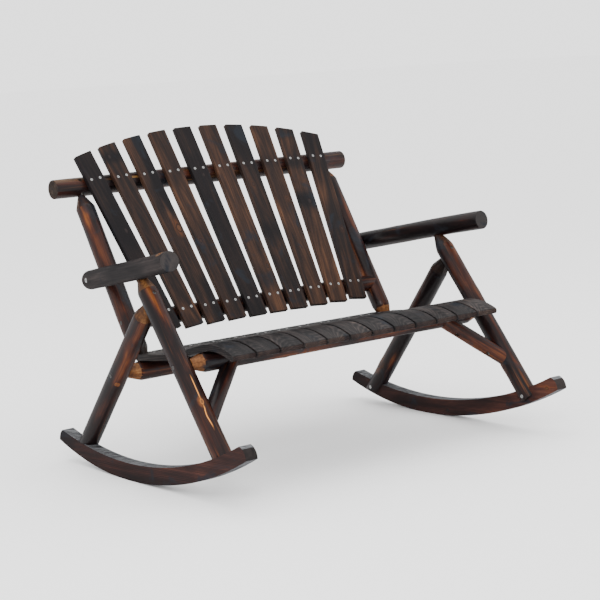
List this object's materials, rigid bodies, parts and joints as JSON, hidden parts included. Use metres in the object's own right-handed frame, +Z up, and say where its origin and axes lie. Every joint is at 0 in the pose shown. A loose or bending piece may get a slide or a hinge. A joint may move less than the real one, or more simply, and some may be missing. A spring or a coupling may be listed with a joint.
{
  "type": "rocking bench",
  "caption": "Rustic two-seat rocking bench of pointed round logs, with curved rockers, a contoured slatted seat, log armrests and a fanned, reclined slatted back with an arched top",
  "frame": {"origin": "middle of the bench's bounding box at floor level, with the rockers' lowest line on the floor", "axes": "X runs across the bench, whose two halves mirror each other about X = 0, the sitter faces -Y, Z is up"},
  "size_m": [1.1616, 0.9719, 0.9207],
  "materials": {
    "log_wood": "scorched fir log under a semi-gloss varnish",
    "rocker_wood": "scorched sawn plank, satin",
    "back_slat_wood": "scorched sawn board, semi-gloss",
    "seat_slat_wood": "scorched sawn board, charcoal grey, semi-gloss",
    "steel": "zinc-plated"
  },
  "bodies": {
    "root": {"rocker_left": "rocker_wood", "rocker_right": "rocker_wood", "front_leg_left": "log_wood", "front_leg_right": "log_wood", "rear_leg_left": "log_wood", "rear_leg_right": "log_wood", "armrest_left": "log_wood", "armrest_right": "log_wood", "back_post_left": "log_wood", "back_post_right": "log_wood", "top_rail": "log_wood", "lower_back_rail": "log_wood", "front_seat_log": "log_wood", "rear_seat_log": "log_wood", "knee_brace_left": "log_wood", "knee_brace_right": "log_wood", "back_slat_01": "back_slat_wood", "back_slat_02": "back_slat_wood", "back_slat_03": "back_slat_wood", "back_slat_04": "back_slat_wood", "back_slat_05": "back_slat_wood", "back_slat_06": "back_slat_wood", "back_slat_07": "back_slat_wood", "back_slat_08": "back_slat_wood", "back_slat_09": "back_slat_wood", "back_slat_10": "back_slat_wood", "seat_slat_01": "seat_slat_wood", "seat_slat_02": "seat_slat_wood", "seat_slat_03": "seat_slat_wood", "seat_slat_04": "seat_slat_wood", "seat_slat_05": "seat_slat_wood", "seat_slat_06": "seat_slat_wood", "seat_slat_07": "seat_slat_wood", "seat_slat_08": "seat_slat_wood", "seat_slat_09": "seat_slat_wood", "seat_slat_10": "seat_slat_wood", "seat_slat_11": "seat_slat_wood", "seat_slat_12": "seat_slat_wood", "upper_back_screws": "steel", "lower_back_screws": "steel", "front_seat_screws": "steel", "rear_seat_screws": "steel", "rocker_screws": "steel", "leg_top_screws": "steel", "arm_leg_screws": "steel", "arm_post_bolts": "steel", "top_rail_screws": "steel", "lower_rail_screws": "steel", "seat_log_screws": "steel", "post_foot_screws": "steel", "knee_brace_screws": "steel"}
  },
  "joints": []
}
